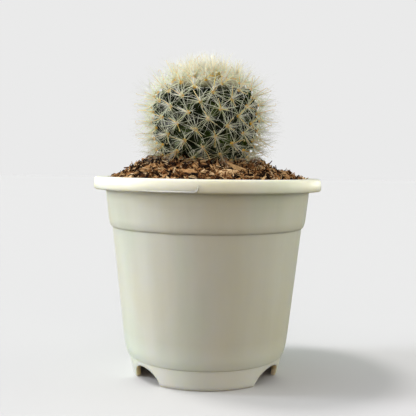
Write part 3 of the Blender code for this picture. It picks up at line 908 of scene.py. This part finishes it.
def spine_material(name, base_stops, tones):
    """Colour from base to tip, changed a little from spine to spine."""
    made, tree, shader = start_material(name)
    along = put(tree, "ShaderNodeAttribute", output="Fac", attribute_name="along")
    tone = put(tree, "ShaderNodeAttribute", output="Fac", attribute_name="tone")
    colour = ramp(tree, along, base_stops)
    shade = ramp(tree, tone, tones)
    colour = blend_colours(tree, 1.0, colour, shade, "MULTIPLY")
    stained = ramp(tree, height_at(tree, 114.0, 134.0), STAIN)
    colour = blend_colours(tree, 1.0, colour, stained, "MULTIPLY")
    tree.links.new(colour, shader.inputs["Base Color"])
    shader.inputs["Roughness"].default_value = 0.45
    shader.inputs["Subsurface Weight"].default_value = 1.0
    shader.inputs["Subsurface Radius"].default_value = (1.0, 1.0, 1.0)
    shader.inputs["Subsurface Scale"].default_value = 1.0 * MM
    return made


print("spine finish ready")

# %% [markdown]
# ## Radial spines
# The radials lie nearly flat and cross their neighbours' radials, so the dark skin shows only in
# small gaps. They start golden at the areole and turn pale green-white. A wide spread of lengths,
# tones and bends keeps the stars from looking stamped.

# %% Radial spines
GROWN_FROM = 5.5
YOUNG_UP_TO = 8.3
old_rows = [row for row in shown if row[2] > GROWN_FROM]
young_rows = [row for row in shown if row[2] <= YOUNG_UP_TO]
print("grown areoles:", len(old_rows), "young areoles:", len(young_rows))

radial_look = spine_material(
    "radial_spine",
    [(0.0, (0.92, 0.50, 0.03)), (0.10, (0.90, 0.64, 0.12)), (0.22, (0.80, 0.86, 0.52)),
     (1.0, (0.88, 0.95, 0.74))],
    [(0.0, (0.36, 0.39, 0.27)), (0.35, (0.86, 0.91, 0.76)), (1.0, (1.08, 1.10, 1.04))],
)
old_cloud = point_cloud("old_cloud", old_rows)
whole_cloud = point_cloud("whole_cloud", shown)
radials = grow(
    "radial_spines", old_cloud, spine_tree(radial_look, 3),
    {
        "Shape": bristle_shape, "Count": 23, "Tilt Low": math.radians(42), "Tilt High": math.radians(90),
        "Length Low": 4.8 * MM, "Length High": 10.0 * MM, "Thickness": 0.30 * MM, "Sway": 4.2 * MM,
        "Lift": 0.3 * MM, "Seed": 11,
    },
    radial_look,
)

# %% [markdown]
# ## White hairs
# Hairs far thinner than the spines stand out all over the stem. In front of the skin they almost
# vanish, but along the outline they add up to a pale haze. They must be fine and many, not wide and few.

# %% White hairs
hair_look = spine_material(
    "white_hair",
    [(0.0, (0.84, 0.80, 0.60)), (0.3, (0.79, 0.78, 0.68)), (1.0, (0.73, 0.73, 0.69))],
    [(0.0, (0.80, 0.80, 0.78)), (1.0, (1.0, 1.0, 1.0))],
)
hairs = grow(
    "white_hairs", whole_cloud, spine_tree(hair_look, 3),
    {
        "Shape": hair_shape, "Count": 33, "Tilt Low": 0.0, "Tilt High": math.radians(40),
        "Length Low": 8.0 * MM, "Length High": 13.5 * MM, "Thickness": 0.065 * MM, "Sway": 2.4 * MM,
        "Lift": 0.3 * MM, "Seed": 23,
    },
    hair_look,
)

# %% [markdown]
# ## Hooked centrals
# Two stout golden spines stand straight out of each grown areole and curl over at the tip.
# They break the outline, so they get more sides and a rounder section than the finer spines.

# %% Hooked centrals
hook_look = spine_material(
    "hooked_spine",
    [(0.0, (0.95, 0.46, 0.03)), (0.35, (0.95, 0.66, 0.14)), (0.8, (0.93, 0.78, 0.42)),
     (1.0, (0.74, 0.46, 0.16))],
    [(0.0, (0.62, 0.55, 0.45)), (0.5, (1.0, 0.95, 0.85)), (1.0, (1.05, 1.05, 1.0))],
)
hooks = grow(
    "hooked_spines", old_cloud, spine_tree(hook_look, 5),
    {
        "Shape": hook_shape, "Count": 2, "Tilt Low": math.radians(8), "Tilt High": math.radians(64),
        "Length Low": 5.5 * MM, "Length High": 10.5 * MM, "Thickness": 0.44 * MM, "Sway": 1.2 * MM,
        "Lift": 0.3 * MM, "Seed": 37,
    },
    hook_look,
)

# %% [markdown]
# ## Crown
# The youngest areoles are packed at the top. Their spines are long, cream and nearly upright, and
# together they make a brush that hides the tip of the stem.

# %% Crown
crown_look = spine_material(
    "crown_spine",
    [(0.0, (0.90, 0.76, 0.38)), (0.35, (0.97, 0.92, 0.62)), (0.7, (0.84, 0.78, 0.50)),
     (1.0, (0.60, 0.55, 0.38))],
    [(0.0, (0.82, 0.58, 0.26)), (0.25, (0.97, 0.88, 0.66)), (1.0, (1.04, 1.04, 1.04))],
)
young_cloud = point_cloud("young_cloud", young_rows)
crown = grow(
    "crown_spines", young_cloud, spine_tree(crown_look, 3),
    {
        "Shape": hair_shape, "Count": 27, "Tilt Low": math.radians(2), "Tilt High": math.radians(55),
        "Length Low": 6.0 * MM, "Length High": 12.0 * MM, "Thickness": 0.29 * MM, "Sway": 1.8 * MM,
        "Lift": 0.0, "Seed": 53,
    },
    crown_look,
)
clusters = sorted(name for name in nodes if name.startswith("spine_cluster_"))
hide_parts(*clusters)
for piece in (radials, hairs, hooks, crown):
    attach(piece, "root")

# %% [markdown]
# ## Areole pads
# A small golden felt pad sits on each tubercle under its spines. From a distance the pads are the
# bright dots that let the eye follow the spirals. A flattened bead on each point is enough.

# %% Areole pads
def pad_tree(material):
    tree, given = new_tree("pads", {"Size": "Float", "Seed": "Int"})
    outward = put(tree, "GeometryNodeInputNamedAttribute", {"Name": "outward"}, "Attribute",
                  data_type="FLOAT_VECTOR")
    upright = put(tree, "FunctionNodeAlignRotationToVector", {"Vector": outward}, axis="Z")
    bead = put(tree, "GeometryNodeMeshUVSphere", {"Segments": 10, "Rings": 6, "Radius": 1.0})
    flat = put(tree, "GeometryNodeTransform", {"Geometry": bead, "Scale": (1.0, 1.0, 0.7)})
    sockets = {"Min": 0.8, "Max": 1.15, "Seed": given["Seed"]}
    share = put(tree, "FunctionNodeRandomValue", sockets, data_type="FLOAT")
    size = math_node(tree, "MULTIPLY", share, given["Size"])
    beads = put(tree, "GeometryNodeInstanceOnPoints",
                {"Points": given["Geometry"], "Instance": flat, "Rotation": upright, "Scale": size})
    real = put(tree, "GeometryNodeRealizeInstances", {"Geometry": beads})
    finish_tree(tree, put(tree, "GeometryNodeSetShadeSmooth", {"Geometry": real}), material)
    return tree


FELT = [(0.3, (0.84, 0.40, 0.01)), (0.7, (0.98, 0.64, 0.06))]
pad_look = mottled("areole_felt", 2500.0, FELT, 0.9)[0]
pads = grow("areole_pads", old_cloud, pad_tree(pad_look), {"Size": 1.05 * MM, "Seed": 71}, pad_look)
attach(pads, "root")

# %% [markdown]
# ## Dry flower
# One withered flower is left at the front of the crown. It is only 3 mm long, so a ball pulled long
# and crumpled by noise gives its shape, and a mottled olive and brown finish does the rest.

# %% Dry flower
def dry_flower(place):
    shape = bmesh.new()
    bmesh.ops.create_uvsphere(shape, u_segments=16, v_segments=12, radius=1.0)
    lean = Matrix.Rotation(math.radians(25), 3, "Y") @ Matrix.Rotation(math.radians(20), 3, "X")
    for vertex in shape.verts:
        crumple = 1.0 + 0.5 * noise.noise(vertex.co * 1.8)
        wide = 1.5 + 0.5 * vertex.co.z
        pulled = Vector((vertex.co.x * wide, vertex.co.y * wide, vertex.co.z * 2.5))
        vertex.co = (place + lean @ pulled * crumple) * MM
    mesh = mesh_of(shape, "dry_flower")
    mesh.shade_smooth()
    return add_mesh("dry_flower", mesh)


FLOWER_PLACE = (4.4, -20.0, 160.4)
WITHERED = [(0.3, (0.14, 0.10, 0.015)), (0.7, (0.50, 0.40, 0.09))]
flower = dry_flower(Vector(FLOWER_PLACE))
flower_look, flower_nodes, flower_shader, _ = mottled("withered_petals", 900.0, WITHERED, 0.9)
bump(flower_nodes, flower_shader, noise_at(flower_nodes, 1500.0), 0.2 * MM)
flower.data.materials.append(flower_look)
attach(flower, "root")
print("dry flower faces:", len(flower.data.polygons))

# %% [markdown]
# ## Potting mix
# The mix is chopped coconut husk: curled flakes, flat chips and loose fibres, from nearly black to
# pale tan. The mound under them is one turned body that fills the pot and closes round the stem. Its
# top is roughened by noise at two sizes, lumps and crumbs. Its finish is nearly black, partly dark dust
# and partly painted shade in the gaps between the thousands of separate pieces that lie on it.

# %% Mound shape
# The dome's foot is MIX_EDGE high and DOME_REACH out, and it climbs DOME_RISE over DOME_RUN inwards.
MIX_EDGE, FLAT_TOP = 105.2, 105.25
DOME_RISE, DOME_REACH, DOME_RUN = 13.4, 54.3, 30.3
SLUMP_DEPTH, SLUMP_REACH, SLUMP_RUN = 3.2, 47.0, 14.0
# Each heap beside the stem: its place across, its rise and its spread in mm.
HEAPS = ((26.5, 1.9, 6.5), (-30.0, 1.3, 8.0))


def mound_height(x, y):
    """Height of the mix in mm at a place in mm: a dome that slumps towards the front right."""
    away = math.hypot(x, y)
    t = min(max((DOME_REACH - away) / DOME_RUN, 0.0), 1.0)
    slump = 0.5 + 0.35 * (x - y) / max(away, 1.0) * 1.414
    fade = min(max((SLUMP_REACH - away) / SLUMP_RUN, 0.0), 1.0)
    dome = MIX_EDGE + DOME_RISE * (0.62 * t + 0.38 * t * t * (3 - 2 * t))
    lost = SLUMP_DEPTH * slump * fade * fade * (3 - 2 * fade)
    heaps = sum(rise * math.exp(-((x - across) ** 2 + y * y) / (2 * spread * spread))
                for across, rise, spread in HEAPS)
    return dome - lost + heaps


mound_line = [(0.0, 12.6), (38.5, 12.6), (43.0, 20.3), (49.7, 79.8), (50.3, 81.5), (51.9, 84.8)]
mound_line += [(51.9 + 2.3 * t, 84.8 + 20.2 * t) for t in (0.25, 0.5, 0.75, 1.0)]
mound_line += [(float(radius), FLAT_TOP) for radius in np.linspace(53.4, 0.0, 60)]
mound = turned("mix_mound", mound_line)
for vertex in mound.data.vertices:
    place = vertex.co / MM
    if place.z > MIX_EDGE:
        height = mound_height(place.x, place.y)
        lump = noise.noise(Vector((place.x, place.y, height)) / 8.0) * 1.3
        crumb = noise.noise(Vector((place.x, place.y, height)) / 1.7 + Vector((7, 3, 1))) * 0.7
        vertex.co.z = (height + min(1.0, (height - MIX_EDGE) / 2.0) * (lump + crumb)) * MM
mound.data.shade_smooth()
print("mound points:", len(mound.data.vertices))

# %% [markdown]
# Between the flakes the mix is nearly black: dark dust, with painted shade for the gaps between the
# flakes. The roots are hidden in it, but they keep their modelled shape and get a plain bark, so that
# the plant is whole if the pot is taken away.

# %% Mix and root finish
# near-black dust with painted shade for the gaps between the flakes
DUST_AND_PAINTED_SHADE = [(0.3, (0.002, 0.001, 0.0004)), (0.6, (0.012, 0.005, 0.002)), (0.8, (0.05, 0.02, 0.008))]
BARK = [(0.3, (0.20, 0.12, 0.06)), (0.7, (0.42, 0.30, 0.18))]
mix_look, mix_nodes, mix_shader, crumbs = mottled("husk_dust_and_shade", 700.0, DUST_AND_PAINTED_SHADE, 0.95)
mix_shader.inputs["Specular IOR Level"].default_value = 0.05
bump(mix_nodes, mix_shader, crumbs, 0.8 * MM)
mound.data.materials.append(mix_look)
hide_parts("potting_mix")
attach(mound, "root")

root_look, root_nodes, root_shader, _ = mottled("root_bark", 400.0, BARK, 0.9, (1, 1, 0.2))
bump(root_nodes, root_shader, noise_at(root_nodes, 700.0), 0.3 * MM)
for slot in nodes["roots"].material_slots:
    slot.material = root_look

# %% [markdown]
# ## Loose husk
# The loose litter is thousands of flakes, but only eight different ones. Each template is a thin strip
# of a few rows, narrower at its ends and curled along its length, with ragged sides.

# %% Flake templates
rng = np.random.default_rng(5)


def flake_mesh(name, length, width, curl, point, sheet):
    """A thin curled flake with ragged sides, closed all round."""
    shape = bmesh.new()
    steps = 5
    rails = []
    for k in range(steps):
        u = 2 * k / (steps - 1) - 1
        half = width / 2 * (1 - 0.4 * u * u) * (1 - point * (u + 1) / 2) * rng.uniform(0.75, 1.2)
        drift = rng.uniform(-0.15, 0.15) * width
        rise = -curl * u * u + rng.uniform(-0.12, 0.12) * width
        rails.append([
            shape.verts.new((u * length / 2, side * half + drift, rise + over * sheet / 2 + 0.18 * width))
            for side, over in ((-1, 1), (1, 1), (1, -1), (-1, -1))
        ])
    for first, second in zip(rails, rails[1:]):
        for k in range(4):
            shape.faces.new((first[k], second[k], second[(k + 1) % 4], first[(k + 1) % 4]))
    shape.faces.new(rails[0])
    shape.faces.new(rails[-1][::-1])
    bmesh.ops.recalc_face_normals(shape, faces=shape.faces)
    shape.transform(Matrix.Scale(MM, 4))
    return mesh_of(shape, name)


# Each template: length, width and curl in mm, how pointed it is, and its thickness in mm.
FLAKES = (
    (4.8, 1.3, 0.5, 0.3, 0.35), (3.8, 1.7, 0.3, 0.1, 0.35), (6.0, 0.9, 0.8, 0.5, 0.30),
    (3.0, 1.3, 0.2, 0.4, 0.40), (7.0, 0.50, 0.9, 0.4, 0.35), (5.4, 0.40, -0.7, 0.3, 0.30),
    (2.2, 1.1, 0.1, 0.2, 0.45), (4.4, 0.8, -0.4, 0.6, 0.30),
)
flake_shapes = bpy.data.collections.new("flake_shapes")
for i, sizes in enumerate(FLAKES):
    flake = bpy.data.objects.new(f"flake_{i}", flake_mesh(f"flake_{i}", *sizes))
    flake_shapes.objects.link(flake)

# %% [markdown]
# A tree scatters the flakes over the top of the mound. Each lies along the surface, then is spun, rolled
# and pitched by its own random angles and lifted a little, so that they overlap as real litter does. Each
# also carries a random tone, which the finish turns into a colour between near black and pale tan.

# %% Litter tree
STEM_HIDES = 20


def mound_surface():
    """The top of the mound, without what the stem covers, as a mesh to scatter on."""
    top = bmesh.new()
    top.from_mesh(mound.data)
    hidden = []
    for face in top.faces:
        middle = face.calc_center_median()
        away = math.hypot(middle.x - STEM_OFFSET * MM, middle.y)
        if face.normal.z < 0.3 or middle.z < 104.9 * MM or away < STEM_HIDES * MM:
            hidden.append(face)
    bmesh.ops.delete(top, geom=hidden, context="FACES")
    return add_mesh("mound_top", mesh_of(top, "mound_top"))


def litter_tree(material):
    inputs = {"Flakes": "Collection", "Density": "Float", "Tilt": "Float", "Size Low": "Float",
              "Size High": "Float", "Lift": "Float", "Seed": "Int"}
    tree, given = new_tree("litter", inputs)
    chance = chance_maker(tree, given["Seed"])
    scatter = tree.nodes.new("GeometryNodeDistributePointsOnFaces")
    tree.links.new(given["Geometry"], scatter.inputs["Mesh"])
    tree.links.new(given["Density"], scatter.inputs["Density"])
    tree.links.new(given["Seed"], scatter.inputs["Seed"])
    flakes = put(tree, "GeometryNodeCollectionInfo",
                 {"Collection": given["Flakes"], "Separate Children": True, "Reset Children": True})
    way = put(tree, "FunctionNodeAlignRotationToVector", {"Vector": scatter.outputs["Normal"]}, axis="Z")
    less = math_node(tree, "MULTIPLY", given["Tilt"], -1.0)
    spin = ((0, 0, 1), 0.0, 2 * math.pi)
    roll = ((1, 0, 0), less, given["Tilt"])
    pitch = ((0, 1, 0), less, given["Tilt"])
    for step, (axis, low, high) in enumerate((spin, roll, pitch), start=1):
        by = put(tree, "FunctionNodeAxisAngleToRotation",
                 {"Axis": axis, "Angle": chance("FLOAT", low, high, step)})
        way = put(tree, "FunctionNodeRotateRotation", {"Rotation": way, "Rotate By": by},
                  rotation_space="LOCAL")
    height = chance("FLOAT", 0.0, given["Lift"], 6)
    lift = put(tree, "ShaderNodeVectorMath", {0: scatter.outputs["Normal"], "Scale": height},
               operation="SCALE")
    raised = put(tree, "GeometryNodeSetPosition", {"Geometry": scatter.outputs["Points"], "Offset": lift})
    laid = put(tree, "GeometryNodeInstanceOnPoints", {
        "Points": raised, "Instance": flakes, "Pick Instance": True,
        "Instance Index": chance("INT", 0, len(FLAKES) - 1, 4), "Rotation": way,
        "Scale": chance("FLOAT", given["Size Low"], given["Size High"], 5),
    })
    toned = put(tree, "GeometryNodeStoreNamedAttribute",
                {"Geometry": laid, "Name": "tone", "Value": chance("FLOAT", 0.0, 1.0, 7)},
                domain="INSTANCE", data_type="FLOAT")
    finish_tree(tree, toned, material)
    return tree


print("litter tree ready")

# %% [markdown]
# The husk's finish multiplies three things: the flake's own tone, a fine grain and a broader blotch.

# %% Husk litter
HUSK_TONES = [
    (0.0, (0.003, 0.001, 0.0004)), (0.30, (0.020, 0.007, 0.002)), (0.42, (0.15, 0.060, 0.018)),
    (0.68, (0.44, 0.24, 0.10)), (0.88, (0.64, 0.45, 0.24)), (1.0, (0.80, 0.64, 0.42)),
]
GRAIN = [(0.3, (0.55, 0.52, 0.5)), (0.7, (1.15, 1.12, 1.1))]
BLOTCH = [(0.38, (0.84, 0.80, 0.76)), (0.58, (1.06, 1.04, 1.02))]
husk_look, husk_nodes, husk_shader = start_material("husk_flake")
tone = put(husk_nodes, "ShaderNodeAttribute", output="Fac", attribute_name="tone")
husk = ramp(husk_nodes, tone, HUSK_TONES)
for pattern_scale, stops in ((1800.0, GRAIN), (480.0, BLOTCH)):
    pattern = ramp(husk_nodes, noise_at(husk_nodes, pattern_scale), stops)
    husk = blend_colours(husk_nodes, 1.0, husk, pattern, "MULTIPLY")
husk_nodes.links.new(husk, husk_shader.inputs["Base Color"])
husk_shader.inputs["Roughness"].default_value = 0.85
husk_shader.inputs["Specular IOR Level"].default_value = 0.12
bump(husk_nodes, husk_shader, noise_at(husk_nodes, 1500.0), 0.2 * MM)
mound_top = mound_surface()
litter = grow(
    "husk_litter", mound_top, litter_tree(husk_look),
    {"Flakes": flake_shapes, "Density": 0.56e6, "Tilt": math.radians(44), "Size Low": 0.6,
     "Size High": 1.4, "Lift": 1.6 * MM, "Seed": 3},
    husk_look,
)
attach(litter, "root")

# %% [markdown]
# ## Large flakes
# Eight larger flakes lie on top. They are few, so each is placed one by one and laid on the mound by the
# same height rule. Two layers joined at the edge give it the thickness of a real chip.

# %% Large flakes
# Each flake: direction from the front in degrees, distance from the axis, length and width in mm, how
# far it is turned in degrees, how pointed it is, its tone, and how steeply it leans outwards.
BIG_FLAKES = (
    (28.0, 36.0, 12.5, 6.5, 150.0, 0.9, 0.86, 0.75), (14.0, 43.5, 10.5, 5.0, 8.0, 0.3, 0.92, 0.55),
    (-14.0, 43.0, 11.0, 2.2, -15.0, 0.5, 0.74, 0.1), (66.0, 44.0, 10.0, 5.0, 35.0, 0.4, 0.80, 0.2),
    (-52.0, 42.0, 10.5, 2.4, 70.0, 0.6, 0.76, 0.1), (112.0, 41.0, 10.0, 5.5, -30.0, 0.2, 0.85, 0.1),
    (168.0, 43.0, 12.0, 5.0, 20.0, 0.5, 0.80, 0.3), (-112.0, 42.0, 10.0, 5.0, -50.0, 0.4, 0.90, 0.2),
)


def big_flake(name, azimuth, distance, length, width, turn, point, tone, lean):
    """A wide flake laid on the mound with a low ridge along its middle, closed all round."""
    shape = bmesh.new()
    along, across, sheet = 13, 7, 0.35
    facing = Matrix.Rotation(math.radians(azimuth), 3, "Z")
    turned_by = facing @ Matrix.Rotation(math.radians(turn), 3, "Z")
    middle = facing @ Vector((0, -distance, 0))
    layers = []
    for over in (1, -1):
        grid = []
        for i in range(along):
            u = 2 * i / (along - 1) - 1
            half = width / 2 * (1 - abs(u) ** 9 * 0.5) * (1 - point * (u + 1) / 2)
            row = []
            for j in range(across):
                v = 2 * j / (across - 1) - 1
                ragged = 1 + 0.35 * noise.noise(Vector((u * 3.7, v * 2, azimuth)))
                place = middle + turned_by @ Vector((u * length / 2 * ragged, v * half * ragged, 0))
                ground = mound_height(place.x, place.y) + lean * (distance - math.hypot(place.x, place.y))
                ripple = 0.5 * noise.noise(Vector((u * 3, v * 2, azimuth + 5)))
                lift = 2.8 - 1.1 * abs(v) - 0.3 * u * u + ripple
                point_at = Vector((place.x, place.y, ground + lift + over * sheet / 2))
                row.append(shape.verts.new(point_at * MM))
            grid.append(row)
        layers.append(grid)
    upper, lower = layers
    for i in range(along - 1):
        for j in range(across - 1):
            shape.faces.new((upper[i][j], upper[i + 1][j], upper[i + 1][j + 1], upper[i][j + 1]))
            shape.faces.new((lower[i][j + 1], lower[i + 1][j + 1], lower[i + 1][j], lower[i][j]))
    edge = [(i, 0) for i in range(along)] + [(along - 1, j) for j in range(1, across)]
    edge += [(i, across - 1) for i in range(along - 2, -1, -1)] + [(0, j) for j in range(across - 2, 0, -1)]
    for (i, j), (k, l) in zip(edge, edge[1:] + edge[:1]):
        shape.faces.new((upper[i][j], lower[i][j], lower[k][l], upper[k][l]))
    bmesh.ops.recalc_face_normals(shape, faces=shape.faces)
    mesh = mesh_of(shape, name)
    tones = mesh.attributes.new("tone", "FLOAT", "POINT")
    tones.data.foreach_set("value", [tone] * len(mesh.vertices))
    mesh.shade_smooth()
    mesh.set_sharp_from_angle(angle=math.radians(50))
    return add_mesh(name, mesh, husk_look)


chip_nodes = sorted(name for name in nodes if name.startswith("husk_chip_"))
for i, row in enumerate(BIG_FLAKES):
    flake = big_flake(f"large_flake_{i + 1}", *row)
    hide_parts(chip_nodes[i])
    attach(flake, "root")
print("large flakes:", len(BIG_FLAKES))

# %% [markdown]
# ## Clean up
# The templates and the point clouds have done their work, so they are removed.

# %% Clean up
helpers = [bristle_shape, hair_shape, hook_shape, areole_cloud, old_cloud, young_cloud, whole_cloud]
for helper in (*helpers, mound_top, *flake_shapes.objects):
    bpy.data.objects.remove(helper)
